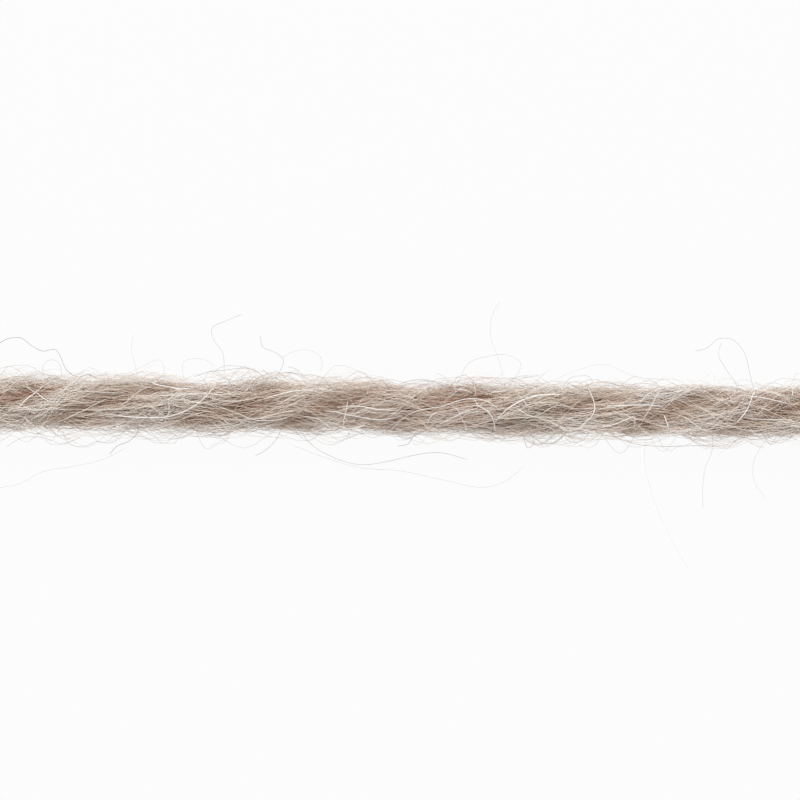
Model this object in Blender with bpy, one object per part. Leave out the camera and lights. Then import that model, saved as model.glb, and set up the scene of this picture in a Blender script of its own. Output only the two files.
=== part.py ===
"""A cut length of three-ply knitting yarn, lying straight on a flat surface.

Three soft woollen singles are twisted round each other into one strand. Units are metres, with +Z up.
The strand runs along X, and the origin is under its middle, on the surface that it lies on.
"""

import math

import bmesh
import bpy
import numpy as np

# The strand
LENGTH = 0.064  # of the cut piece
PLY_RADIUS = 0.00102  # a single's own mean radius
PLY_OFFSET = 0.00091  # from the strand's axis to the middle of a single
GAP = 0.0003  # between neighbouring singles, so that each is a solid of its own
FLAT = 0.00010  # how far the soft underside is pressed flat
STEPS = 96  # cross-sections along each single
ARC_POINTS = 12  # points on the round outer side of a section
FLANK_POINTS = 2  # points on each flat inner side, between the arc and the tip
LIFT = PLY_OFFSET + PLY_RADIUS - FLAT  # height of the strand's axis above the surface

# Places along the strand where a groove between two singles crosses its top. They are laid up unevenly,
# a third of a turn from one groove to the next.
TOP_GROOVES = (-0.0378, -0.0280, -0.0210, -0.0112, -0.0050, 0.0021, 0.0116, 0.0186, 0.0265, 0.0345)
THIRD = 2.0 * math.pi / 3.0

# The singles are soft and uneven. A row for each: its name, its shade, and its thick and thin places as
# (place along the strand, thickness there over the mean).
PLIES = (
    (
        "ply_a",
        (0.44, 0.36, 0.30),
        ((-0.032, 0.98), (-0.020, 1.02), (-0.004, 0.98), (0.012, 1.03), (0.032, 0.99)),
    ),
    (
        "ply_b",
        (0.40, 0.32, 0.26),
        ((-0.032, 1.02), (-0.014, 0.97), (0.003, 1.03), (0.020, 0.98), (0.032, 1.00)),
    ),
    (
        "ply_c",
        (0.47, 0.40, 0.34),
        ((-0.032, 0.99), (-0.024, 1.03), (-0.008, 1.01), (0.008, 0.97), (0.032, 1.02)),
    ),
)


def smooth_through(places, values, x):
    """A smooth curve through (places, values), read at x, that never overshoots between two of them."""
    places = np.asarray(places, float)
    values = np.asarray(values, float)
    slopes = np.diff(values) / np.diff(places)
    tangents = np.concatenate([slopes[:1], (slopes[1:] + slopes[:-1]) / 2.0, slopes[-1:]])
    tangents[1:-1][slopes[1:] * slopes[:-1] <= 0.0] = 0.0
    k = np.clip(np.searchsorted(places, x) - 1, 0, len(places) - 2)
    step = places[k + 1] - places[k]
    t = np.clip((x - places[k]) / step, 0.0, 1.0)
    rise = t * t * (3.0 - 2.0 * t)
    start = t * (1.0 - t) * (1.0 - t) * step * tangents[k]
    finish = -t * t * (1.0 - t) * step * tangents[k + 1]
    return values[k] + (values[k + 1] - values[k]) * rise + start + finish


def top_angle(x):
    """The direction, about the strand's axis, of the groove that crossed the top at the first of TOP_GROOVES.

    It turns backwards as x grows, which makes the left-handed lay of an S-plied yarn.
    """
    turned = THIRD * np.arange(len(TOP_GROOVES))
    return math.pi / 2.0 - smooth_through(TOP_GROOVES, turned, x)


def ply_section(radius):
    """A single's outline, across the strand: (out from the axis, to the side), anticlockwise from the tip.

    It is round outside and pressed flat against its two neighbours inside.
    """
    lean = THIRD / 2.0
    tip = GAP / 2.0 / math.sin(lean)
    # The flat side runs out from the tip, at the angle of lean, until it meets the circle.
    run = math.cos(lean) * (PLY_OFFSET - tip)
    reach = run + math.sqrt(run * run - (PLY_OFFSET - tip) ** 2 + radius * radius)
    corner_out = tip + reach * math.cos(lean)
    corner_side = reach * math.sin(lean)
    half_arc = math.atan2(corner_side, corner_out - PLY_OFFSET)
    outline = [(tip, 0.0)]
    for k in range(1, FLANK_POINTS + 1):
        share = k / (FLANK_POINTS + 1)
        outline.append((tip + (corner_out - tip) * share, -corner_side * share))
    for k in range(ARC_POINTS):
        angle = half_arc * (2.0 * k / (ARC_POINTS - 1) - 1.0)
        outline.append((PLY_OFFSET + radius * math.cos(angle), radius * math.sin(angle)))
    for k in range(FLANK_POINTS, 0, -1):
        share = k / (FLANK_POINTS + 1)
        outline.append((tip + (corner_out - tip) * share, corner_side * share))
    return outline


def wool(name, colour):
    """Matt wool of one shade."""
    material = bpy.data.materials.new(name)
    material.use_nodes = True
    shader = material.node_tree.nodes["Principled BSDF"]
    shader.inputs["Base Color"].default_value = (*colour, 1.0)
    shader.inputs["Roughness"].default_value = 0.9
    shader.inputs["Metallic"].default_value = 0.0
    return material


def ply(name, colour, swells, phase):
    """One single: its section swept along the strand while it turns with the lay."""
    places = [place for place, _ in swells]
    shares = [share for _, share in swells]
    bm = bmesh.new()
    rings = []
    for x in np.linspace(-LENGTH / 2.0, LENGTH / 2.0, STEPS):
        radius = PLY_RADIUS * float(smooth_through(places, shares, x))
        direction = float(top_angle(x)) + phase
        ring = []
        for out, side in ply_section(radius):
            y = out * math.cos(direction) - side * math.sin(direction)
            z = LIFT + out * math.sin(direction) + side * math.cos(direction)
            ring.append(bm.verts.new((x, y, max(z, 0.0))))
        rings.append(ring)
    count = len(rings[0])
    for before, after in zip(rings, rings[1:]):
        for k in range(count):
            n = (k + 1) % count
            bm.faces.new((before[k], before[n], after[n], after[k]))
    bm.faces.new(rings[0])
    bm.faces.new(rings[-1])
    bmesh.ops.recalc_face_normals(bm, faces=bm.faces)
    mesh = bpy.data.meshes.new(name)
    bm.to_mesh(mesh)
    bm.free()
    mesh.materials.append(wool(name + "_wool", colour))
    mesh.shade_smooth()
    mesh.set_sharp_from_angle(angle=math.radians(40.0))
    piece = bpy.data.objects.new(name, mesh)
    bpy.context.scene.collection.objects.link(piece)


for old in list(bpy.data.objects):
    bpy.data.objects.remove(old, do_unlink=True)

for number, (name, colour, swells) in enumerate(PLIES):
    # Half a third past a groove is the middle of a single.
    ply(name, colour, swells, THIRD * (number + 0.5))
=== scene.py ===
"""A short length of soft three-ply wool yarn, lying straight across a light table.

Everything is in metres, in the frame of the solids: +X runs along the strand, and the table is at z = 0.
"""

import math

import bpy
import numpy as np
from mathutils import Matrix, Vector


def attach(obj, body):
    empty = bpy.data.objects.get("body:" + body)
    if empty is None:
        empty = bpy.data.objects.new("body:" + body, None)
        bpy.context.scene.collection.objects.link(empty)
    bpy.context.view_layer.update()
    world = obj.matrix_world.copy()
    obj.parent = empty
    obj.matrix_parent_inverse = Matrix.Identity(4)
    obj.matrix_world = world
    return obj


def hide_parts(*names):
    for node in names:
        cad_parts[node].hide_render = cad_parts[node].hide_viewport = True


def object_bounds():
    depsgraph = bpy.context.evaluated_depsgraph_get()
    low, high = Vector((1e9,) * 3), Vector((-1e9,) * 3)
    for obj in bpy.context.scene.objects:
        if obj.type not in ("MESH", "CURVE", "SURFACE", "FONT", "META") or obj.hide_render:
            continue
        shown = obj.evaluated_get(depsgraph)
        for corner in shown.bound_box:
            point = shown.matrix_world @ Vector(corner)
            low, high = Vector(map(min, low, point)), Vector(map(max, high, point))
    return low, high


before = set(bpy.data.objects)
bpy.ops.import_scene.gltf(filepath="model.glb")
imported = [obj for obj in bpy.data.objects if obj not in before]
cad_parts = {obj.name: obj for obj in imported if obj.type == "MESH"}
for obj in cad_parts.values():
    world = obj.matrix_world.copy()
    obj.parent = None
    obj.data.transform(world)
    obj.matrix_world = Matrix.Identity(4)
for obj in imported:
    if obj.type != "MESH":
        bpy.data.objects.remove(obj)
cad_box = [list(corner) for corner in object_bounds()]
bpy.ops.object.select_all(action="DESELECT")
MM = 0.001

# ---------------------------------------------------------------------------------------------------------
# The view: straight down on the strand from close by, with the yarn a hair below the middle of the view and
# not quite level in it. The cut ends lie just past both sides.
VIEW_WIDTH = 56.0 * MM
VIEW_TILT = math.radians(0.65)
STRAND_BELOW_MIDDLE = 0.56 * MM
LENS, SENSOR = 100.0, 36.0  # millimetres, as on a camera
NEAREST_SEEN = 5.0 * MM
strand_top = cad_box[1][2]

camera_data = bpy.data.cameras.new("close_up_camera")
camera_data.lens = LENS
camera_data.sensor_width = SENSOR
camera_data.clip_start = NEAREST_SEEN
camera = bpy.data.objects.new("close_up_camera", camera_data)
camera.location = (
    -STRAND_BELOW_MIDDLE * math.sin(VIEW_TILT),
    STRAND_BELOW_MIDDLE * math.cos(VIEW_TILT),
    strand_top / 2.0 + VIEW_WIDTH * LENS / SENSOR,
)
camera.rotation_euler = (0.0, 0.0, VIEW_TILT)
bpy.context.collection.objects.link(camera)
bpy.context.scene.camera = camera
bpy.context.scene.view_settings.view_transform = "Standard"

# ---------------------------------------------------------------------------------------------------------
# The light table: a plain white sheet that glows evenly, so that the yarn throws almost no shadow, in a
# white room that is brighter round its walls than overhead, with one large soft lamp above the far side.
TABLE_SIZE = 1.2
TABLE_BELOW = 0.02 * MM  # so that the sheet is never level with the underside of the strand
SHEET_COLOUR = (0.02, 0.02, 0.02, 1.0)  # nearly black, as all its light is its own glow
GLOW_COLOUR = (0.965, 0.965, 0.965, 1.0)
TABLE_GLOW = 0.982
ROOM_LIGHT = (1.76, 0.70)  # at the foot of the walls and straight overhead
LAMP_PLACE = (-0.1, 0.45, 0.50)
LAMP_SIZE, LAMP_WATTS = 0.8, 4.8
LAMP_COLOUR = (0.97, 0.985, 1.0)

bpy.ops.mesh.primitive_plane_add(size=TABLE_SIZE, location=(0.0, 0.0, -TABLE_BELOW))
light_table = bpy.context.object
light_table.name = "light_table"
bpy.ops.object.transform_apply(location=True, rotation=True, scale=True)
sheet_white = bpy.data.materials.new("sheet_white")
sheet_white.use_nodes = True
sheet_shader = sheet_white.node_tree.nodes["Principled BSDF"]
sheet_shader.inputs["Base Color"].default_value = SHEET_COLOUR
sheet_shader.inputs["Roughness"].default_value = 0.9
sheet_shader.inputs["Specular IOR Level"].default_value = 0.0
sheet_shader.inputs["Emission Color"].default_value = GLOW_COLOUR
sheet_shader.inputs["Emission Strength"].default_value = TABLE_GLOW
light_table.data.materials.append(sheet_white)

room = bpy.data.worlds.new("white_room")
room.use_nodes = True
room_glow = room.node_tree.nodes["Background"]
room_glow.inputs["Color"].default_value = GLOW_COLOUR
room_way = room.node_tree.nodes.new("ShaderNodeTexCoord")
room_height = room.node_tree.nodes.new("ShaderNodeSeparateXYZ")
room_light = room.node_tree.nodes.new("ShaderNodeMapRange")
room_light.inputs["To Min"].default_value = ROOM_LIGHT[0]
room_light.inputs["To Max"].default_value = ROOM_LIGHT[1]
room.node_tree.links.new(room_way.outputs["Generated"], room_height.inputs["Vector"])
room.node_tree.links.new(room_height.outputs["Z"], room_light.inputs["Value"])
room.node_tree.links.new(room_light.outputs["Result"], room_glow.inputs["Strength"])
bpy.context.scene.world = room

lamp_data = bpy.data.lights.new("overhead_softbox", "AREA")
lamp_data.size = LAMP_SIZE
lamp_data.energy = LAMP_WATTS
lamp_data.color = LAMP_COLOUR
lamp = bpy.data.objects.new("overhead_softbox", lamp_data)
lamp.location = LAMP_PLACE
lamp_x, lamp_y, lamp_z = LAMP_PLACE
lamp.rotation_euler = (-math.atan2(lamp_y, lamp_z), math.atan2(lamp_x, lamp_z), 0.0)
bpy.context.collection.objects.link(lamp)

# ---------------------------------------------------------------------------------------------------------
# The packed inside of the three singles, laid up together in a left-handed twist. Here the wool lies too
# close to see between. Each single is pressed flat against its neighbours, and fibres cover the outside.
LENGTH = 64.0 * MM
PLY_RADIUS = 1.02 * MM
PLY_OFFSET = 0.91 * MM
FLAT = 0.10 * MM
LIFT = PLY_OFFSET + PLY_RADIUS - FLAT
THIRD = 2.0 * math.pi / 3.0
# Places along the strand where a groove between two singles crosses its top, in metres.
TOP_GROOVES = (-0.0378, -0.0280, -0.0210, -0.0112, -0.0050, 0.0021, 0.0116, 0.0186, 0.0265, 0.0345)
# Thick and thin places of each single: (place along the strand, thickness there over the mean).
SWELLS = {
    "ply_a": ((-0.032, 0.98), (-0.020, 1.02), (-0.004, 0.98), (0.012, 1.03), (0.032, 0.99)),
    "ply_b": ((-0.032, 1.02), (-0.014, 0.97), (0.003, 1.03), (0.020, 0.98), (0.032, 1.00)),
    "ply_c": ((-0.032, 0.99), (-0.024, 1.03), (-0.008, 1.01), (0.008, 0.97), (0.032, 1.02)),
}
PLY_NAMES = tuple(SWELLS)
# The packed wool's own red-brown. Part of its darkness is painted shade, since it shows only deep in the
# grooves.
PACKED_COLOURS_SHADED = ((0.56, 0.295, 0.200), (0.53, 0.275, 0.186), (0.59, 0.313, 0.212))
PACKED_RADIUS = 0.53 * MM
PACKED_OFFSET = 0.50 * MM
PACKED_STEPS = 320
PACKED_SHORT = 1.1 * MM  # how far it stops short of the cut ends
PACKED_ARC = 18
PACKED_TIP = 0.01 * MM  # how far the inner edge of each single stays off the strand's axis
RIDGES, RIDGE_HEIGHT = 9.0, 0.02 * MM  # low ridges that run with the fibres, round each single
STREAKS = (70.0, 9.0, 1.0)  # how close the streaks lie along a single and round it
# Fibres run round a single the other way from the lay, this far for each metre along the strand.
SINGLES_TWIST = 410.0


def smooth_through(places, values, x):
    """A smooth curve through (places, values), read at x, that never overshoots between two of them."""
    places = np.asarray(places, float)
    values = np.asarray(values, float)
    slopes = np.diff(values) / np.diff(places)
    tangents = np.concatenate([slopes[:1], (slopes[1:] + slopes[:-1]) / 2.0, slopes[-1:]])
    tangents[1:-1][slopes[1:] * slopes[:-1] <= 0.0] = 0.0
    k = np.clip(np.searchsorted(places, x) - 1, 0, len(places) - 2)
    step = places[k + 1] - places[k]
    t = np.clip((x - places[k]) / step, 0.0, 1.0)
    rise = t * t * (3.0 - 2.0 * t)
    start = t * (1.0 - t) * (1.0 - t) * step * tangents[k]
    finish = -t * t * (1.0 - t) * step * tangents[k + 1]
    return values[k] + (values[k + 1] - values[k]) * rise + start + finish


def ply_direction(number, x):
    """Which way a single lies from the strand's axis, as an angle from +Y towards +Z."""
    turned = smooth_through(TOP_GROOVES, THIRD * np.arange(len(TOP_GROOVES)), x)
    return math.pi / 2.0 - turned + THIRD * (number + 0.5)


def swell(number, x):
    """How thick a single is at x, over its mean."""
    swells = np.array(SWELLS[PLY_NAMES[number]])
    return smooth_through(swells[:, 0], swells[:, 1], x)


def packed_reach(lean):
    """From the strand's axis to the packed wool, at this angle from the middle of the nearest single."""
    return PACKED_OFFSET * np.cos(lean) + np.sqrt(PACKED_RADIUS**2 - (PACKED_OFFSET * np.sin(lean)) ** 2)


def wool_inside(name, shade):
    """Packed wool: dark and pale streaks that run with the fibres, which the UV map follows."""
    material = bpy.data.materials.new(name)
    material.use_nodes = True
    nodes, links = material.node_tree.nodes, material.node_tree.links
    shader = nodes["Principled BSDF"]
    shader.inputs["Roughness"].default_value = 0.85
    shader.inputs["Specular IOR Level"].default_value = 0.2
    where = nodes.new("ShaderNodeUVMap")
    where.uv_map = "along_fibres"
    stretch = nodes.new("ShaderNodeMapping")
    stretch.inputs["Scale"].default_value = STREAKS
    streaks = nodes.new("ShaderNodeTexNoise")
    streaks.inputs["Scale"].default_value = 4.0
    streaks.inputs["Detail"].default_value = 6.0
    streaks.inputs["Roughness"].default_value = 0.7
    colours = nodes.new("ShaderNodeValToRGB")
    dark, pale = colours.color_ramp.elements
    dark.position, dark.color = 0.30, (*(0.50 * c for c in shade), 1.0)
    pale.position, pale.color = 0.72, (*(1.15 * c for c in shade), 1.0)
    relief = nodes.new("ShaderNodeBump")
    relief.inputs["Strength"].default_value = 0.5
    relief.inputs["Distance"].default_value = 0.05 * MM
    links.new(where.outputs["UV"], stretch.inputs["Vector"])
    links.new(stretch.outputs["Vector"], streaks.inputs["Vector"])
    links.new(streaks.outputs["Fac"], colours.inputs["Fac"])
    links.new(colours.outputs["Color"], shader.inputs["Base Color"])
    links.new(streaks.outputs["Fac"], relief.inputs["Height"])
    links.new(relief.outputs["Normal"], shader.inputs["Normal"])
    return material


def packed_single(number, x):
    """Rings of points, one for each x, and the fibres' course as UV for each point."""
    lean = np.linspace(-THIRD / 2.0, THIRD / 2.0, PACKED_ARC)
    reach = packed_reach(lean)[None, :] * swell(number, x)[:, None]
    round_ply = np.arctan2(reach * np.sin(lean), reach * np.cos(lean) - PLY_OFFSET)
    reach = reach + RIDGE_HEIGHT * np.sin(RIDGES * (round_ply - SINGLES_TWIST * x[:, None]) + 3.0 * number)
    reach = np.concatenate([np.full((len(x), 1), PACKED_TIP), reach], axis=1)
    turn = ply_direction(number, x)[:, None] + np.concatenate([[0.0], lean])[None, :]
    y = reach * np.cos(turn)
    z = LIFT + reach * np.sin(turn)
    course = np.concatenate([round_ply[:, :1], round_ply], axis=1) - SINGLES_TWIST * x[:, None]
    along = np.broadcast_to(x[:, None], y.shape)
    return np.stack([along, y, z], axis=2), np.stack([along, course / (2.0 * math.pi)], axis=2)


packed_x = np.linspace(PACKED_SHORT - LENGTH / 2.0, LENGTH / 2.0 - PACKED_SHORT, PACKED_STEPS)
packed_points, packed_faces, packed_slots, packed_uvs = [], [], [], []
for number in range(3):
    points, uvs = packed_single(number, packed_x)
    rings, count = points.shape[:2]
    first = len(packed_points) * rings * count
    index = first + np.arange(rings * count).reshape(rings, count)
    after = np.roll(index, -1, axis=1)
    sides = np.stack([index[:-1], after[:-1], after[1:], index[1:]], axis=2).reshape(-1, 4)
    packed_faces += [face[::-1] for face in sides.tolist()]
    packed_faces += [index[0].tolist(), index[-1, ::-1].tolist()]
    packed_slots += [number] * (len(sides) + 2)
    packed_points.append(points.reshape(-1, 3))
    packed_uvs.append(uvs.reshape(-1, 2))
strand_mesh = bpy.data.meshes.new("strand")
strand_mesh.from_pydata(np.concatenate(packed_points).tolist(), [], packed_faces)
packed_uvs = np.concatenate(packed_uvs)
corner_points = np.empty(len(strand_mesh.loops), np.int32)
strand_mesh.loops.foreach_get("vertex_index", corner_points)
strand_mesh.uv_layers.new(name="along_fibres").uv.foreach_set("vector", packed_uvs[corner_points].ravel())
for name, shade in zip(PLY_NAMES, PACKED_COLOURS_SHADED):
    strand_mesh.materials.append(wool_inside(name + "_inside", shade))
strand_mesh.polygons.foreach_set("material_index", packed_slots)
strand_mesh.shade_smooth()
strand_mesh.set_sharp_from_angle(angle=math.radians(50.0))
strand = bpy.data.objects.new("strand", strand_mesh)
bpy.context.collection.objects.link(strand)

# ---------------------------------------------------------------------------------------------------------
# The wool that shows on each single: fine crimped fibres, spun in small locks that lie nearly along the
# strand. Most are greige and some are red-brown; painted light makes the ones that stand higher paler, and
# painted shade darkens those in a groove.
LOCKS = 180
FIBRES_IN_LOCK = 10
FIBRE_POINTS = 12
FIBRE_THICKNESS = (0.034 * MM, 0.052 * MM)
FIBRE_LENGTH = (4.0 * MM, 9.0 * MM)
CUT_AT = LENGTH / 2.0
TABLE_CLEARANCE = 0.03 * MM
HAIR_REACH = 0.55  # from the middle of a three-sided hair to its corners, over its thickness
STEEP = 0.8  # a hair that climbs more than this, for each metre of its length, is built from another side
# Where the locks lie: to either side of the outermost line of their single (an angle), how high over the
# packed wool (typical and greatest) and along how much of it, in millimetres.
LOCK_SIDE = 2.3
LOCK_HEIGHTS = (0.09, 0.34)
LOCK_SCATTER = 2.0
# How their course varies: the twist from lock to lock, from fibre to fibre, and of the few fibres that run
# across their lock. Then the length of a wave of crimp, in millimetres, and its size as an angle.
TWIST_SPREADS = (110.0, 45.0, 400.0)
ROGUE_SHARE = 0.09
CRIMP_LENGTHS = (3.0, 7.0)
CRIMP_SWAYS = (0.02, 0.11)
# Their tones: a mean, its spread from lock to lock and from fibre to fibre, the painted light that makes
# the highest paler and the painted shade that darkens those in a groove. A few fibres are pale, and more
# are dark, some locks above all.
FIBRE_TONE = 0.33
TONE_SPREADS = (0.08, 0.055)
# Painted light: how much paler the highest locks are, and the height at which they are palest.
PAINTED_LIGHT_ABOVE, LOCKS_PAINTED_LIGHTEST_FROM = 0.16, 0.36 * MM
PAINTED_SHADE_IN_GROOVE, GROOVE_FROM, GROOVE_WIDTH = 0.10, 1.3, 0.9  # painted shade in a groove; the last two are angles round a single
PALE_SHARE, PALE_TONES = 0.05, (0.65, 1.0)
DARK_SHARES, DARK_CHANCES = (0.06, 0.36), (0.77, 0.23)
DARK_TONES = (0.06, 0.24)
WOOL_COLOURS = (
    (0.365, 0.118, 0.062),  # red-brown
    (0.530, 0.305, 0.200),
    (0.680, 0.556, 0.458),  # greige
    (0.780, 0.706, 0.634),
    (0.875, 0.860, 0.836),  # cream
)


def wool_fibres(name, colours, roughness, shine=0.12):
    """Wool fibres, each with its own tone, from the first colour to the last."""
    material = bpy.data.materials.new(name)
    material.use_nodes = True
    nodes, links = material.node_tree.nodes, material.node_tree.links
    shader = nodes["Principled BSDF"]
    shader.inputs["Roughness"].default_value = roughness
    shader.inputs["Specular IOR Level"].default_value = shine
    tone = nodes.new("ShaderNodeAttribute")
    tone.attribute_name = "tone"
    ramp = nodes.new("ShaderNodeValToRGB")
    ramp.color_ramp.elements[0].color = (*colours[0], 1.0)
    ramp.color_ramp.elements[1].color = (*colours[-1], 1.0)
    for k, colour in enumerate(colours[1:-1], 1):
        ramp.color_ramp.elements.new(k / (len(colours) - 1)).color = (*colour, 1.0)
    links.new(tone.outputs["Fac"], ramp.inputs["Fac"])
    links.new(ramp.outputs["Color"], shader.inputs["Base Color"])
    return material


def hairs(name, paths, thickness, tones, material):
    """One mesh of many three-sided hairs with pointed ends.

    paths and tones have a row of points for each hair, and thickness has a value for each hair.
    """
    paths = paths.copy()
    paths[..., 2] = np.maximum(paths[..., 2], TABLE_CLEARANCE)
    many, points = paths.shape[:2]
    way = np.gradient(paths, axis=1)
    way /= np.maximum(np.linalg.norm(way, axis=2, keepdims=True), 1e-12)
    upright = np.zeros_like(way)
    steep = np.abs(way[:, points // 2, 2]) > STEEP
    upright[..., 2] = 1.0
    upright[steep] = (0.0, 1.0, 0.0)
    side = np.cross(upright, way)
    side /= np.maximum(np.linalg.norm(side, axis=2, keepdims=True), 1e-12)
    top = np.cross(way, side)
    rings = []
    for corner in range(3):
        angle = math.pi / 2.0 + corner * THIRD
        out = side * math.cos(angle) + top * math.sin(angle)
        rings.append(paths[:, 1:-1] + out[:, 1:-1] * (thickness[:, None, None] * HAIR_REACH))
    rings = np.stack(rings, axis=2)
    inner = points - 2
    per_hair = inner * 3 + 2
    vertices = np.concatenate([rings.reshape(many, inner * 3, 3), paths[:, :1], paths[:, -1:]], axis=1)
    grid = np.arange(inner * 3).reshape(inner, 3)
    turned = np.roll(grid, -1, axis=1)
    sides = np.stack([grid[:-1], turned[:-1], turned[1:], grid[1:]], axis=2).reshape(-1, 4)
    start, finish = inner * 3, inner * 3 + 1
    first_tip = np.stack([np.full(3, start), turned[0], grid[0]], axis=1)
    last_tip = np.stack([np.full(3, finish), grid[-1], turned[-1]], axis=1)
    corners = np.concatenate([sides.ravel(), first_tip.ravel(), last_tip.ravel()])
    sizes = np.concatenate([np.full(len(sides), 4), np.full(6, 3)])
    starts = np.concatenate([[0], np.cumsum(sizes)[:-1]])
    step = np.arange(many)[:, None]
    mesh = bpy.data.meshes.new(name)
    mesh.vertices.add(many * per_hair)
    mesh.vertices.foreach_set("co", vertices.astype(np.float32).ravel())
    mesh.loops.add(many * len(corners))
    mesh.loops.foreach_set("vertex_index", (corners + step * per_hair).astype(np.int32).ravel())
    mesh.polygons.add(many * len(sizes))
    mesh.polygons.foreach_set("loop_start", (starts + step * len(corners)).astype(np.int32).ravel())
    mesh.update(calc_edges=True)
    tone = mesh.attributes.new("tone", "FLOAT", "POINT")
    tones = np.clip(tones, 0.0, 1.0)
    tones = np.concatenate([np.repeat(tones[:, 1:-1], 3, axis=1), tones[:, :1], tones[:, -1:]], axis=1)
    tone.data.foreach_set("value", tones.astype(np.float32).ravel())
    mesh.materials.append(material)
    mesh.shade_smooth()
    piece = bpy.data.objects.new(name, mesh)
    bpy.context.collection.objects.link(piece)
    piece.parent = strand
    return piece


def on_single(number, x, round_ply, above):
    """Points on one single: how far round it from its outer side, and how high above its packed wool."""
    apart = PLY_OFFSET - PACKED_OFFSET
    away = np.sqrt(PACKED_RADIUS**2 - (apart * np.sin(round_ply)) ** 2) - apart * np.cos(round_ply)
    away = away * swell(number, x) + above
    direction = ply_direction(number, x)
    y = PLY_OFFSET * np.cos(direction) + away * np.cos(direction + round_ply)
    z = LIFT + PLY_OFFSET * np.sin(direction) + away * np.sin(direction + round_ply)
    return np.stack([x, y, z], axis=-1)


def patches(chance, x, around, long, wide, strength, many):
    """Lighter and darker streaks of wool, each long by wide, as a change of tone at (x, around)."""
    at_x = chance.uniform(-CUT_AT, CUT_AT, many)
    at_around = chance.uniform(-math.pi, math.pi, many)
    change = chance.normal(0.0, strength, many)
    near_x = (x[:, None] - at_x) / (long * chance.uniform(0.5, 1.5, many))
    near_around = np.mod(around[:, None] - at_around + math.pi, 2.0 * math.pi) - math.pi
    return (change * np.exp(-(near_x**2) - (near_around / wide) ** 2)).sum(axis=1)


def spun_locks(number, chance):
    """Paths, thicknesses and tones of the fibres that show on one single."""
    many = LOCKS * FIBRES_IN_LOCK
    lock = np.repeat(np.arange(LOCKS), FIBRES_IN_LOCK)
    lock_middle = chance.uniform(-CUT_AT - 1.0 * MM, CUT_AT + 1.0 * MM, LOCKS)
    lock_round = chance.uniform(-LOCK_SIDE, LOCK_SIDE, LOCKS)
    lock_above = np.minimum(chance.exponential(LOCK_HEIGHTS[0], LOCKS), LOCK_HEIGHTS[1]) * MM
    lock_twist = chance.normal(SINGLES_TWIST, TWIST_SPREADS[0], LOCKS)
    lock_crimp = 2.0 * math.pi / (chance.uniform(*CRIMP_LENGTHS, LOCKS) * MM)
    lock_sway = chance.uniform(*CRIMP_SWAYS, LOCKS)
    lock_phase = chance.uniform(0.0, 2.0 * math.pi, LOCKS)
    lock_tone = chance.normal(0.0, TONE_SPREADS[0], LOCKS)
    lock_tone += patches(chance, lock_middle, lock_round, long=2.6 * MM, wide=0.5, strength=0.09, many=110)
    lock_dark = chance.choice(DARK_SHARES, LOCKS, p=DARK_CHANCES)
    middle = lock_middle[lock] + chance.uniform(-LOCK_SCATTER, LOCK_SCATTER, many) * MM
    long = chance.uniform(*FIBRE_LENGTH, many)
    start = np.clip(middle - long / 2.0, -CUT_AT, CUT_AT - 1.5 * MM)
    finish = np.clip(middle + long / 2.0, start + 1.5 * MM, CUT_AT)
    start = start + chance.uniform(-0.3, 0.1, many) * MM
    finish = finish + chance.uniform(-0.1, 0.3, many) * MM
    share = np.linspace(0.0, 1.0, FIBRE_POINTS)
    x = start[:, None] + (finish - start)[:, None] * share
    twist = lock_twist[lock] + chance.normal(0.0, TWIST_SPREADS[1], many)
    rogue = chance.random(many) < ROGUE_SHARE
    twist[rogue] += chance.normal(0.0, TWIST_SPREADS[2], rogue.sum())
    round_ply = (lock_round[lock] + chance.normal(0.0, 0.13, many))[:, None]
    round_ply = round_ply + twist[:, None] * (x - lock_middle[lock][:, None])
    crimp = (lock_crimp[lock] * chance.uniform(0.85, 1.15, many))[:, None]
    phase = (lock_phase[lock] + chance.normal(0.0, 0.6, many))[:, None]
    sway = (lock_sway[lock] * chance.uniform(0.6, 1.4, many))[:, None]
    round_ply = round_ply + sway * np.sin(crimp * x + phase)
    above = lock_above[lock] + chance.exponential(0.05, many) * MM
    dive = chance.uniform(0.05, 0.25, many)[:, None] * MM
    above = above[:, None] - dive * (2.0 * share - 1.0) ** 4
    above = above + chance.uniform(0.01, 0.04, many)[:, None] * MM * np.sin(0.8 * crimp * x + 1.3 * phase)
    paths = on_single(number, x, round_ply, above)
    thickness = chance.uniform(*FIBRE_THICKNESS, many)
    tones = FIBRE_TONE + lock_tone[lock] + chance.normal(0.0, TONE_SPREADS[1], many)
    dark = chance.random(many) < lock_dark[lock]
    tones[dark] = chance.uniform(*DARK_TONES, dark.sum())
    pale = chance.random(many) < PALE_SHARE
    tones[pale] = chance.uniform(*PALE_TONES, pale.sum())
    # Painted light, paler the higher a fibre stands, and painted shade, darker in a groove.
    height = np.clip(above / LOCKS_PAINTED_LIGHTEST_FROM, 0.0, 1.0)
    groove = np.clip((np.abs(round_ply) - GROOVE_FROM) / GROOVE_WIDTH, 0.0, 1.0)
    return paths, thickness, tones[:, None] + PAINTED_LIGHT_ABOVE * height - PAINTED_SHADE_IN_GROOVE * groove


for number, name in enumerate(PLY_NAMES):
    chance = np.random.default_rng(100 + number)
    paths, thickness, tones = spun_locks(number, chance)
    locks = hairs(name + "_fibres", paths, thickness, tones, wool_fibres(name + "_wool", WOOL_COLOURS, 0.6))

# ---------------------------------------------------------------------------------------------------------
# The soft outside: wisps of paler fibres that have worked loose, with painted light that makes them paler
# the higher they stand and painted shade that darkens them over a groove. The lowest lie across the grooves
# and bind the singles into one strand, and the rest stand off it, in arches and free ends, thinner further
# out.
WISP_POINTS = 10
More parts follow.
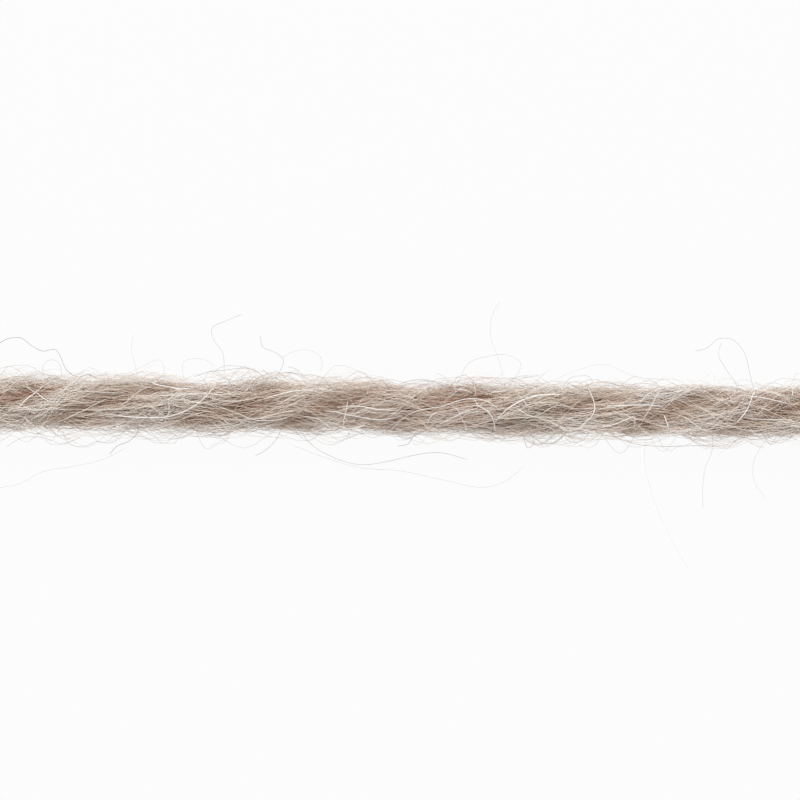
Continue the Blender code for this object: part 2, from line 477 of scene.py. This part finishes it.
# Each layer, from the lowest up: its seed, its wisps, the fibres in each, and the fibres' lengths; their
# least height, and the typical and greatest rise over it; the mean and spread of their slope, in degrees;
# how far the grooves are filled under them; their tone, and the painted light that makes the highest paler;
# and their thicknesses. Lengths, heights and thicknesses are in millimetres.
LAYERS = {
    "binding_fibres": (
        210, 90, 7, (4.0, 10.0), (-0.05, 0.10, 0.35), (6.0, 8.0), 0.25, (0.42, 0.30), (0.034, 0.050)
    ),
    "near_fuzz": (
        320, 310, 9, (3.0, 8.0), (0.10, 0.35, 1.2), (4.0, 10.0), 0.05, (0.48, 0.31), (0.028, 0.042)
    ),
    "mid_fuzz": (
        377, 500, 8, (2.5, 7.0), (0.22, 0.48, 1.4), (3.0, 15.0), 0.05, (0.50, 0.26), (0.018, 0.028)
    ),
    "far_fuzz": (
        430, 1600, 2, (2.0, 7.0), (0.20, 0.42, 1.8), (3.0, 23.0), 0.1, (0.52, 0.25), (0.016, 0.026)
    ),
}
FREE_SHARE = 0.35  # of the fibres end in the air, and the rest arch
WISP_TONE_SPREADS = (0.045, 0.05)  # from fibre to fibre, and from wisp to wisp
GROOVE_PAINTED_SHADE = 0.85  # painted shade over a groove, over the painted light that the highest fibres gain
PAINTED_LIGHTEST_FROM = 0.6 * MM  # height at which their painted light is fullest
# Some of the binding fibres and of the far fuzz are dark: what share, and their tones.
DARK_BINDERS, DARK_BINDER_TONES = 0.15, (0.0, 0.3)
DARK_LOOSE, DARK_LOOSE_TONES = 0.25, (0.05, 0.35)
# What stands furthest off is mostly very fine, dull brown hair: a colour before the others.
LOOSE_COLOURS = ((0.27, 0.20, 0.165), *WOOL_COLOURS)
DULL_FROM, DULL_SHARE, DULL_TONES, DULL_FINENESS = 0.60 * MM, 0.85, (0.0, 0.06), 0.62


def strand_reach(x, angle):
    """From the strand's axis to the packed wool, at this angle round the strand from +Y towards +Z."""
    lean = np.mod(angle - ply_direction(0, x) + THIRD / 2.0, THIRD) - THIRD / 2.0
    return packed_reach(lean)


def round_strand(x, angle, reach):
    """Points at this angle round the strand and this far from its axis."""
    return np.stack([x, reach * np.cos(angle), LIFT + reach * np.sin(angle)], axis=-1)


def wisps(chance, many, fibres, long, rises, slopes, fill):
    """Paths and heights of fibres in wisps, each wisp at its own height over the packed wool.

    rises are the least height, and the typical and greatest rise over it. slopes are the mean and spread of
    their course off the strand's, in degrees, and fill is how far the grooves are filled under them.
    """
    lowest, typical, highest = (rise * MM for rise in rises)
    total = many * fibres
    wisp = np.repeat(np.arange(many), fibres)
    share = np.linspace(0.0, 1.0, WISP_POINTS)
    wisp_middle = chance.uniform(-CUT_AT, CUT_AT, many)
    lean = THIRD * (chance.integers(0, 3, many) + np.clip(chance.normal(0.0, 0.26, many), -0.5, 0.5))
    wisp_around = ply_direction(0, wisp_middle) + lean
    wisp_slope = chance.normal(math.radians(slopes[0]), math.radians(slopes[1]), many)
    wisp_phase = chance.uniform(0.0, 2.0 * math.pi, many)
    wisp_rise = chance.exponential(typical, many)
    middle = wisp_middle[wisp] + chance.uniform(-1.5, 1.5, total) * MM
    course = chance.uniform(long[0] * MM, long[1] * MM, total)
    start = np.clip(middle - course / 2.0, -CUT_AT - 0.3 * MM, CUT_AT - 1.0 * MM)
    finish = np.clip(middle + course / 2.0, start + 1.0 * MM, CUT_AT + 0.3 * MM)
    x = start[:, None] + (finish - start)[:, None] * share
    slope = -np.tan(wisp_slope[wisp] + chance.normal(0.0, math.radians(slopes[1] * 0.45), total))
    around = (wisp_around[wisp] + chance.normal(0.0, 0.15, total))[:, None]
    around = around + (slope / (1.6 * MM))[:, None] * (x - wisp_middle[wisp][:, None])
    crimp = 2.0 * math.pi / (course * chance.uniform(0.45, 1.1, total))[:, None]
    phase = (wisp_phase[wisp] + chance.normal(0.0, 1.0, total))[:, None]
    sway = chance.uniform(0.01, 0.09, total)[:, None]
    around = around + sway * np.sin(crimp * (x - middle[:, None]) + phase)
    rise = wisp_rise[wisp] * chance.uniform(0.3, 1.0, total) + chance.exponential(0.5 * typical, total)
    rise = np.minimum(rise, highest)[:, None]
    turned = np.where(chance.random(total) < 0.5, 1.0, -1.0)[:, None]
    end_up = 0.5 + 0.5 * turned * (2.0 * share - 1.0)
    arch = 1.0 - (2.0 * share - 1.0) ** 2
    free = (chance.random(total) < FREE_SHARE)[:, None]
    rise = rise * np.where(free, end_up**1.4, arch**0.7)
    waves = chance.uniform(0.01, 0.06, total)[:, None] * (MM + 2.5 * rise)
    waves = waves * np.sin(1.3 * crimp * x + 2.0 * phase)
    packed = strand_reach(x, around)
    reach = packed + fill * (PACKED_OFFSET + PACKED_RADIUS - packed) + lowest + rise + waves
    return round_strand(x, around, reach), rise.max(axis=1)


def wisp_tones(chance, paths, height, fibres, base, over):
    """Painted light makes fibres paler where they stand higher, painted shade darker over a groove; streaks
    run along the singles.
    """
    around = np.arctan2(paths[..., 2] - LIFT, paths[..., 1])
    packed = strand_reach(paths[..., 0], around)
    crest = PACKED_OFFSET + PACKED_RADIUS
    groove = (crest - packed) / (crest - packed_reach(THIRD / 2.0))
    middle = paths[:, WISP_POINTS // 2]
    on_ply = around[:, WISP_POINTS // 2] - 0.65 * ply_direction(0, middle[:, 0])
    in_wisp, between_wisps = WISP_TONE_SPREADS
    # over is the painted light that the highest fibres gain; the last line takes painted shade off over a
    # groove.
    tones = base + over * np.clip(height / PAINTED_LIGHTEST_FROM, 0.0, 1.0) + chance.normal(0.0, in_wisp, len(paths))
    tones += np.repeat(chance.normal(0.0, between_wisps, len(paths) // fibres), fibres)
    tones += patches(chance, middle[:, 0], on_ply, long=2.4 * MM, wide=0.32, strength=0.06, many=260)
    return tones[:, None] - GROOVE_PAINTED_SHADE * over * np.clip(groove, 0.0, 1.0)


def layer(name):
    """The random draws, paths, heights and tones of one layer of loose wool, and its range of thickness."""
    seed, many, fibres, long, rises, slopes, fill, tone, thickness = LAYERS[name]
    chance = np.random.default_rng(seed)
    paths, height = wisps(chance, many, fibres, long, rises, slopes, fill)
    return chance, paths, height, wisp_tones(chance, paths, height, fibres, *tone), thickness


chance, paths, _, tones, between = layer("binding_fibres")
dark = chance.random(len(tones)) < DARK_BINDERS
tones[dark] = chance.uniform(*DARK_BINDER_TONES, dark.sum())[:, None]
thickness = chance.uniform(*between, len(tones)) * MM
binders = hairs("binding_fibres", paths, thickness, tones, wool_fibres("binding_wool", WOOL_COLOURS, 0.55))
bpy.ops.object.select_all(action="DESELECT")
binders.parent = None
binders.select_set(True)
strand.select_set(True)
bpy.context.view_layer.objects.active = strand
bpy.ops.object.join()
bpy.ops.object.select_all(action="DESELECT")

chance, paths, _, tones, between = layer("near_fuzz")
thickness = chance.uniform(*between, len(tones)) * MM
near_fuzz = hairs("near_fuzz", paths, thickness, tones, wool_fibres("near_fuzz_wool", WOOL_COLOURS, 0.55))

chance, paths, _, tones, between = layer("mid_fuzz")
thickness = chance.uniform(*between, len(tones)) * MM
mid_fuzz = hairs("mid_fuzz", paths, thickness, tones, wool_fibres("mid_fuzz_wool", WOOL_COLOURS, 0.55))

chance, paths, height, tones, between = layer("far_fuzz")
dark = chance.random(len(tones)) < DARK_LOOSE
tones[dark] = chance.uniform(*DARK_LOOSE_TONES, dark.sum())[:, None]
tones = 0.2 + 0.8 * tones  # past the dull brown at the start of LOOSE_COLOURS
thickness = chance.uniform(*between, len(tones)) * MM
furthest = (height > DULL_FROM) & (chance.random(len(tones)) < DULL_SHARE)
tones[furthest] = chance.uniform(*DULL_TONES, furthest.sum())[:, None]
thickness[furthest] *= DULL_FINENESS
far_fuzz = hairs("far_fuzz", paths, thickness, tones, wool_fibres("far_fuzz_wool", LOOSE_COLOURS, 0.55))

# ---------------------------------------------------------------------------------------------------------
# Guard hairs: coarse, smooth white hairs among the fine wool. They lie over the strand in long arcs, some
# along it and some right across, and they catch the light.
GUARD_POINTS = 19
OTHER_GUARDS = 60
TOP_HEIGHTS, OTHER_HEIGHTS = (0.85, 1.05), (0.50, 0.80)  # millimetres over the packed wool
ENDS_SUNK = 0.60 * MM
GUARD_FINENESS = 0.88  # every one is built this much finer than its thickness here
OTHER_THICKNESS = (0.045, 0.070)
GUARD_COLOURS = ((0.56, 0.52, 0.48), (0.90, 0.88, 0.86))
GUARD_TONES = (0.30, 1.0)
REACH_ROUNDS = 12
# Each hair over the top of the strand: its thickness, and its route as (along, across), in millimetres.
TOP_GUARDS = (
    (0.070, ((-28.3, -1.1), (-27.7, -0.5), (-27.2, 0.0))),
    (0.085, ((-26.5, -0.3), (-25.9, 0.3), (-25.3, 0.8), (-24.7, 1.5))),
    (0.060, ((-26.2, 1.5), (-25.9, 1.1), (-25.2, 0.75), (-24.5, 0.3), (-23.8, 0.05), (-23.1, 0.15))),
    (0.055, ((-26.1, -0.8), (-25.7, -1.25), (-25.2, -1.6), (-24.4, -1.65))),
    (0.060, ((-24.6, -1.5), (-23.7, -1.2), (-22.7, -0.75), (-21.7, -0.3), (-21.0, 0.1), (-20.2, 0.5))),
    (0.070, ((-24.4, 0.8), (-23.6, 1.0), (-22.7, 0.95), (-21.5, 0.9), (-20.3, 0.85), (-19.0, 0.8))),
    (0.088, ((-21.3, -0.55), (-20.2, -0.65), (-19.0, -0.8), (-17.5, -0.85), (-16.2, -0.8), (-15.2, -0.5),
             (-14.3, -0.05), (-13.6, 0.5), (-13.1, 1.1), (-12.8, 1.6), (-12.65, 2.1))),
    (0.065, ((-19.5, -0.1), (-18.9, 0.25), (-18.4, 0.75), (-17.9, 1.1), (-17.2, 1.3))),
    (0.080, ((-17.8, 1.75), (-17.0, 1.45), (-16.1, 1.3), (-15.2, 1.15), (-14.3, 1.25))),
    (0.062, ((-15.0, 1.25), (-15.6, 0.8), (-16.0, 0.35), (-15.95, -0.3), (-16.2, -0.9), (-16.6, -1.4))),
    (0.060, ((-15.2, 0.55), (-14.9, 0.3), (-14.6, 0.05))),
    (0.055, ((-13.4, 0.75), (-12.6, 0.45), (-11.5, 0.35), (-10.3, 0.5), (-9.3, 0.75))),
    (0.065, ((-9.8, 0.4), (-8.9, 0.7), (-8.0, 0.95), (-7.0, 1.15), (-6.2, 1.15), (-5.4, 1.0))),
    (0.055, ((-13.0, 0.05), (-12.1, -0.2), (-11.2, -0.5), (-10.2, -0.9), (-9.0, -0.95), (-8.0, -0.8),
             (-7.2, -0.4))),
    (0.060, ((-7.1, -0.6), (-6.2, -0.7), (-5.5, -0.9), (-4.9, -1.35), (-4.3, -1.6))),
    (0.088, ((-5.5, -0.25), (-4.6, -0.3), (-3.6, -0.5), (-2.6, -0.68), (-1.6, -0.82), (-0.7, -0.75),
             (0.3, -0.5))),
    (0.065, ((-4.6, -0.1), (-4.0, 0.05), (-3.0, 0.1), (-1.6, -0.1), (0.1, -0.2))),
    (0.050, ((-3.6, 0.6), (-3.75, -0.3), (-3.9, -1.0), (-3.9, -1.6))),
    (0.080, ((-2.3, -1.0), (-2.6, -1.25), (-3.0, -1.4), (-3.6, -1.45))),
    (0.065, ((-0.8, -1.7), (-0.4, -1.3), (0.0, -0.9), (0.4, -0.6))),
    (0.050, ((-2.1, 1.8), (-2.2, 1.3), (-2.4, 0.8))),
    (0.072, ((0.1, -0.75), (1.0, -0.25), (2.0, 0.0), (2.8, 0.1), (3.6, 0.4), (4.4, 0.65), (5.3, 0.7),
             (6.1, 0.5), (6.7, 0.1), (7.1, -0.25))),
    (0.070, ((2.4, -1.25), (3.2, -0.85), (4.0, -0.45), (4.8, -0.1), (5.5, 0.1))),
    (0.085, ((5.1, 0.75), (5.4, 0.25), (6.0, -0.1), (6.4, -0.6), (6.6, -1.2), (6.7, -1.75))),
    (0.085, ((6.5, -1.1), (6.9, -0.5), (7.4, 0.0), (8.2, 0.5), (9.1, 0.9), (10.2, 1.05), (11.6, 1.05))),
    (0.052, ((3.4, 0.3), (3.9, 0.0), (4.3, -0.7), (4.6, -1.3), (4.7, -1.8))),
    (0.062, ((8.0, -0.95), (8.9, -0.6), (9.7, -0.35), (10.4, 0.1), (11.2, 0.35), (11.9, 0.1),
             (12.8, 0.1), (14.0, 0.2))),
    (0.070, ((9.4, -0.55), (10.1, -0.55), (10.9, -0.6))),
    (0.078, ((10.4, -0.85), (11.0, -1.2), (11.6, -1.4), (12.2, -1.4), (12.8, -0.9), (13.3, -0.4),
             (13.5, 0.2), (13.4, 0.8), (13.15, 1.4), (13.15, 2.1))),
    (0.060, ((6.0, 1.0), (6.6, 1.2), (7.5, 1.25))),
    (0.080, ((3.6, 1.4), (4.4, 1.3), (5.1, 1.1))),
    (0.050, ((1.9, -1.2), (2.1, -0.6), (2.6, -0.2))),
    (0.048, ((5.1, 2.0), (5.2, 1.4), (5.3, 0.7))),
    (0.060, ((8.1, 1.1), (8.6, 0.55), (8.9, 0.1))),
    (0.068, ((14.1, 0.3), (15.2, 0.35), (16.4, 0.4), (17.4, 0.4), (18.1, 0.3), (18.6, 0.05))),
    (0.078, ((13.8, -1.25), (15.0, -0.9), (15.8, -0.55), (16.4, -0.3))),
    (0.058, ((16.6, 0.4), (16.9, 0.95), (17.4, 1.3), (18.1, 1.55), (18.9, 1.7))),
    (0.075, ((16.3, -0.3), (16.3, -0.8), (16.4, -1.3))),
    (0.055, ((16.3, -1.5), (16.8, -0.8), (17.1, -0.2), (17.4, 0.2))),
    (0.068, ((18.3, -0.2), (18.5, -0.8), (18.7, -1.3))),
    (0.055, ((20.0, -0.8), (21.5, -0.8), (22.3, -0.3))),
    (0.068, ((22.9, 1.2), (22.95, 0.75), (23.3, 0.5))),
    (0.088, ((24.9, 1.6), (24.4, 1.1), (24.2, 0.6), (23.9, 0.0), (23.6, -0.4), (23.2, -1.0))),
    (0.068, ((22.9, 1.15), (24.3, 1.1), (25.4, 0.95), (26.5, 0.7), (27.5, 0.5))),
    (0.065, ((23.9, -0.45), (25.4, -0.5), (27.4, -0.5))),
    (0.065, ((24.1, -0.8), (24.5, -1.3), (24.9, -1.7))),
    (0.072, ((27.4, 1.8), (27.3, 1.5), (27.2, 1.0))),
)


def smooth_route(route, count):
    """A rounded route through a few points, as this many points at even steps."""
    route = np.array(route, float)
    step = np.linalg.norm(np.diff(route, axis=0), axis=1)
    far = np.concatenate([[0.0], np.cumsum(step)])
    way = np.diff(route, axis=0) / step[:, None]
    turn = (way[:-1] * step[1:, None] + way[1:] * step[:-1, None]) / (step[:-1] + step[1:])[:, None]
    turn = np.concatenate([way[:1], turn, way[-1:]])
    at = np.linspace(0.0, far[-1], count)
    k = np.clip(np.searchsorted(far, at) - 1, 0, len(step) - 1)
    t = ((at - far[k]) / step[k])[:, None]
    points = route[k] * (1.0 + 2.0 * t) * (1.0 - t) ** 2 + route[k + 1] * t * t * (3.0 - 2.0 * t)
    return points + (turn[k] * (1.0 - t) - turn[k + 1] * t) * t * (1.0 - t) * step[k][:, None]


def over_strand(x, y, above):
    """Points over the top of the strand, this high above its packed wool.

    The angle and the reach depend on each other, and some rounds bring them into step.
    """
    angle = np.full(np.shape(x), math.pi / 2.0)
    for _ in range(REACH_ROUNDS):
        reach = strand_reach(x, angle) + above
        angle = np.arccos(np.clip(y / reach, -1.0, 1.0))
    return np.stack([x, y, LIFT + np.sqrt(np.maximum(reach**2 - y**2, 0.0))], axis=-1)


chance = np.random.default_rng(540)
routes = [smooth_route(route, GUARD_POINTS) * MM for _, route in TOP_GUARDS]
share = np.linspace(0.0, 1.0, GUARD_POINTS)
sunk = ENDS_SUNK * (2.0 * share - 1.0) ** 4
heights = chance.uniform(*TOP_HEIGHTS, len(routes)) * MM
top_paths = [over_strand(route[:, 0], route[:, 1], high - sunk) for route, high in zip(routes, heights)]
middle = chance.uniform(-CUT_AT + 3.0 * MM, CUT_AT - 3.0 * MM, OTHER_GUARDS)
course = chance.uniform(2.0, 9.0, OTHER_GUARDS) * MM
x = np.clip(middle[:, None] + course[:, None] * (share - 0.5), -CUT_AT, CUT_AT)
slope = np.tan(chance.normal(math.radians(-8.0), math.radians(24.0), OTHER_GUARDS)) / (1.5 * MM)
around = chance.uniform(0.75 * math.pi, 2.25 * math.pi, OTHER_GUARDS)[:, None]
around = around + slope[:, None] * (x - middle[:, None])
bend = chance.normal(0.0, 0.25, OTHER_GUARDS)[:, None]
around = around + bend * (2.0 * share - 1.0) ** 2
reach = strand_reach(x, around) + chance.uniform(*OTHER_HEIGHTS, OTHER_GUARDS)[:, None] * MM - sunk
paths = np.concatenate([np.stack(top_paths), round_strand(x, around, reach)])
top_thickness = [thickness for thickness, _ in TOP_GUARDS]
thickness = np.concatenate([top_thickness, chance.uniform(*OTHER_THICKNESS, OTHER_GUARDS)])
thickness = thickness * GUARD_FINENESS * MM
tones = np.repeat(chance.uniform(*GUARD_TONES, (len(paths), 1)), GUARD_POINTS, axis=1)
guard_white = wool_fibres("guard_hair_white", GUARD_COLOURS, 0.40, shine=0.3)
guards = hairs("guard_hairs", paths, thickness, tones, guard_white)

# ---------------------------------------------------------------------------------------------------------
# Stray hairs that reach well out from the strand over the table. They curl as they please, and the ends of
# the longest sink towards the table.
STRAY_POINTS = 33
STRAY_COLOURS = ((0.11, 0.085, 0.075), (0.42, 0.38, 0.35), (0.80, 0.77, 0.74))
# Each hair: thickness, tone, heights of its first and last point, and its route as (along, across), with
# every length in millimetres.
STRAYS = (
    (0.033, 0.33, 1.2, 2.6, ((-28.6, 4.0), (-27.4, 4.6), (-26.6, 4.6), (-25.9, 4.1), (-25.1, 3.7),
                             (-24.1, 3.8), (-23.7, 3.2), (-23.4, 2.5), (-22.4, 1.9), (-21.8, 2.1),
                             (-21.2, 1.8))),
    (0.024, 0.63, 1.6, 2.3, ((-25.0, 1.9), (-25.0, 2.7), (-24.5, 3.1), (-24.0, 3.0), (-23.6, 2.0))),
    (0.030, 0.28, 2.0, 3.0, ((-21.2, 1.8), (-21.8, 2.1), (-22.4, 1.8), (-22.8, 1.2), (-22.9, 0.5))),
    (0.020, 0.73, 0.8, 2.2, ((-18.8, 5.1), (-18.9, 3.9), (-18.6, 2.9), (-18.4, 2.0))),
    (0.019, 0.68, 2.3, 2.3, ((-19.6, 1.9), (-18.2, 2.6), (-16.7, 3.1), (-16.5, 2.4), (-16.5, 1.7))),
    (0.020, 0.73, 2.2, 2.2, ((-15.1, 1.6), (-15.1, 3.1), (-14.4, 3.3), (-13.4, 3.1), (-12.6, 2.2))),
    (0.025, 0.53, 0.5, 2.2, ((-11.2, 6.5), (-12.3, 6.0), (-13.3, 5.4), (-13.1, 4.6), (-12.5, 3.8),
                             (-12.3, 2.2))),
    (0.027, 0.43, 1.0, 2.4, ((-9.9, 5.0), (-9.7, 4.2), (-8.8, 3.8), (-8.2, 3.3), (-8.4, 2.5),
                             (-8.8, 1.9))),
    (0.020, 0.68, 2.4, 2.0, ((-8.3, 3.4), (-7.6, 3.8), (-6.7, 4.0), (-5.8, 3.7), (-5.5, 3.3),
                             (-5.6, 2.5))),
    (0.025, 0.30, 2.5, 2.7, ((-9.6, 2.6), (-9.2, 2.2), (-8.8, 1.8), (-8.5, 1.3))),
    (0.026, 0.40, 2.6, 2.9, ((-14.4, 2.0), (-13.4, 2.35), (-12.2, 2.5), (-11.0, 2.65), (-10.2, 2.55),
                             (-9.5, 2.1))),
    (0.022, 0.45, 2.4, 2.8, ((-13.2, 2.2), (-12.4, 2.75), (-11.4, 2.8), (-10.3, 2.55), (-9.6, 2.1),
                             (-9.2, 1.6))),
    (0.024, 0.35, 2.7, 3.0, ((-10.4, 1.5), (-9.9, 2.0), (-9.2, 2.3), (-8.3, 2.35), (-7.4, 2.3),
                             (-6.6, 1.9))),
    (0.026, 0.35, 2.5, 2.6, ((-8.1, 2.4), (-7.3, 2.35), (-6.8, 2.15), (-6.2, 1.85), (-5.8, 1.5))),
    (0.024, 0.40, 2.2, 2.6, ((-7.9, 2.8), (-7.3, 2.65), (-6.8, 2.25), (-6.1, 2.25), (-5.5, 2.0),
                             (-5.0, 1.7))),
    (0.020, 0.50, 2.3, 2.5, ((-12.0, 1.7), (-11.6, 2.3), (-10.8, 2.75), (-10.5, 2.3), (-10.6, 1.8))),
    (0.022, 0.45, 2.6, 2.4, ((-3.4, 1.9), (-2.6, 2.1), (-1.8, 2.05), (-1.0, 1.75))),
    (0.022, 0.45, 2.6, 2.4, ((0.0, 1.7), (0.6, 1.9), (1.6, 1.95), (2.4, 1.8), (3.2, 1.5))),
    (0.024, 0.40, 2.6, 2.6, ((7.2, 1.7), (7.8, 2.1), (8.3, 2.3), (8.9, 2.35))),
    (0.020, 0.68, 0.4, 2.3, ((7.0, 7.6), (6.6, 7.0), (6.3, 6.1), (6.4, 4.7), (6.8, 3.7), (7.2, 2.2))),
    (0.022, 0.63, 2.3, 2.2, ((4.0, 1.8), (4.8, 3.2), (6.2, 3.7), (7.4, 3.8), (8.4, 3.2), (8.0, 2.2),
                             (7.6, 1.8))),
    (0.020, 0.78, 2.2, 2.5, ((10.2, 1.8), (12.4, 2.8), (14.2, 3.2), (15.8, 2.6), (17.3, 2.0))),
    (0.028, 0.58, 0.6, 2.4, ((20.7, 4.2), (21.6, 4.5), (22.3, 5.1), (23.2, 5.1), (24.0, 4.3), (24.4, 2.8),
                             (24.7, 1.4))),
    (0.025, 0.58, 1.4, 2.4, ((22.5, 4.9), (22.3, 3.9), (22.7, 3.1), (23.3, 2.2), (23.8, 1.4))),
    (0.032, 0.28, 1.2, 2.2, ((-20.4, -3.5), (-19.8, -2.9), (-18.9, -2.5), (-18.3, -1.8), (-18.4, -1.2))),
    (0.025, 0.53, 1.0, 1.4, ((-23.8, -1.8), (-23.2, -2.8), (-22.3, -3.0), (-21.2, -2.6),
                             (-20.4, -2.7), (-19.4, -2.2))),
    (0.022, 0.63, 0.5, 1.6, ((-27.8, -3.1), (-26.6, -2.4), (-25.0, -2.4), (-23.6, -2.8), (-22.4, -2.3))),
    (0.018, 0.68, 0.1, 1.0, ((-28.6, -6.0), (-26.9, -5.7), (-25.2, -4.8), (-23.1, -4.4),
                             (-21.0, -3.9), (-19.2, -3.0))),
    (0.027, 0.48, 0.8, 1.9, ((-10.2, -3.5), (-9.6, -3.2), (-9.0, -2.7), (-8.4, -1.8), (-8.3, -1.2))),
    (0.027, 0.48, 1.9, 1.4, ((-6.9, -1.8), (-6.2, -2.6), (-4.9, -3.4), (-2.8, -4.0), (-1.0, -3.8),
                             (0.6, -3.4), (2.8, -3.1), (4.9, -3.6))),
    (0.019, 0.63, 1.8, 1.5, ((-7.7, -2.6), (-5.6, -3.4), (-2.8, -4.2), (0.0, -4.4), (3.5, -5.1),
                             (6.0, -5.5), (7.4, -5.1), (8.8, -3.9))),
    (0.030, 0.33, 1.0, 2.3, ((-0.2, -2.7), (0.6, -2.5), (1.0, -1.9), (1.6, -1.1), (1.9, -0.6))),
    (0.032, 0.28, 1.5, 1.4, ((9.3, -1.0), (9.1, -1.6), (9.6, -2.1), (10.4, -2.4), (11.1, -2.2),
                             (11.7, -1.6))),
    (0.030, 0.33, 1.6, 1.6, ((8.6, -1.6), (8.8, -2.3), (9.0, -2.7), (9.4, -2.4), (9.3, -1.8))),
    (0.027, 0.48, 1.5, 1.6, ((11.5, -1.8), (11.9, -2.2), (12.7, -2.2), (13.3, -1.6))),
    (0.027, 0.48, 0.5, 1.7, ((14.6, -1.6), (16.4, -2.3), (18.6, -2.5), (21.0, -2.4), (22.6, -2.4),
                             (24.0, -1.8))),
    (0.020, 0.63, 0.3, 1.9, ((21.5, -6.9), (21.4, -5.4), (21.5, -4.0), (21.9, -2.8), (21.9, -1.6))),
    (0.013, 0.80, 0.1, 1.5, ((20.6, -11.3), (19.4, -9.3), (18.2, -6.9), (17.6, -5.2), (17.2, -3.4),
                             (17.3, -1.8))),
    (0.018, 0.68, 0.2, 1.7, ((26.0, -6.2), (25.0, -4.8), (24.9, -3.6), (25.4, -2.4), (26.0, -1.6))),
)

share = np.linspace(0.0, 1.0, STRAY_POINTS)
stray_paths = []
for _, _, first_height, last_height, route in STRAYS:
    way = smooth_route(route, STRAY_POINTS) * MM
    height = (first_height + (last_height - first_height) * share**0.8) * MM
    stray_paths.append(np.stack([way[:, 0], way[:, 1], height], axis=1))
thickness = np.array([stray[0] for stray in STRAYS]) * MM
tones = np.repeat([[stray[1]] for stray in STRAYS], STRAY_POINTS, axis=1)
stray_wool = wool_fibres("stray_wool", STRAY_COLOURS, 0.5)
strays = hairs("stray_hairs", np.stack(stray_paths), thickness, tones, stray_wool)

# ---------------------------------------------------------------------------------------------------------
# The cut ends: the strand was snipped across, so every fibre of the three singles stops there, blunt, in a
# slightly spread brush.
END_FIBRES = 1000
END_SHARE = np.array([0.0, 0.35, 0.7, 0.98, 1.0])  # places of a fibre's points along it
END_THICKNESS = (0.048, 0.070)
END_TONE, END_TONE_SPREAD = 0.50, 0.2

chance = np.random.default_rng(650)
end_paths = []
for end in (-1.0, 1.0):
    inside = CUT_AT - PACKED_SHORT - chance.uniform(0.1, 0.8, END_FIBRES) * MM
    outside = CUT_AT + chance.uniform(-0.15, 0.30, END_FIBRES) * MM
    x = end * (inside[:, None] + (outside - inside)[:, None] * END_SHARE)
    turn = chance.uniform(0.0, 2.0 * math.pi, END_FIBRES)
    lobes = strand_reach(np.full(END_FIBRES, end * CUT_AT), turn) + 0.10 * MM
    out = np.sqrt(chance.random(END_FIBRES)) * lobes
    spread = 1.0 + chance.uniform(-0.05, 0.20, END_FIBRES)[:, None] * END_SHARE**2
    turn = turn[:, None] + chance.normal(0.0, 0.10, END_FIBRES)[:, None] * END_SHARE
    end_paths.append(round_strand(x, turn, out[:, None] * spread))
paths = np.concatenate(end_paths)
thickness = chance.uniform(*END_THICKNESS, len(paths)) * MM
tones = np.repeat(chance.normal(END_TONE, END_TONE_SPREAD, (len(paths), 1)), len(END_SHARE), axis=1)
cut_ends = hairs("cut_ends", paths, thickness, tones, wool_fibres("cut_end_wool", WOOL_COLOURS, 0.6))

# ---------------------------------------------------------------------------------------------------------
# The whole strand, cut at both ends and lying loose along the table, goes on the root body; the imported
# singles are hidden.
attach(strand, "root")
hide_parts(*PLY_NAMES)
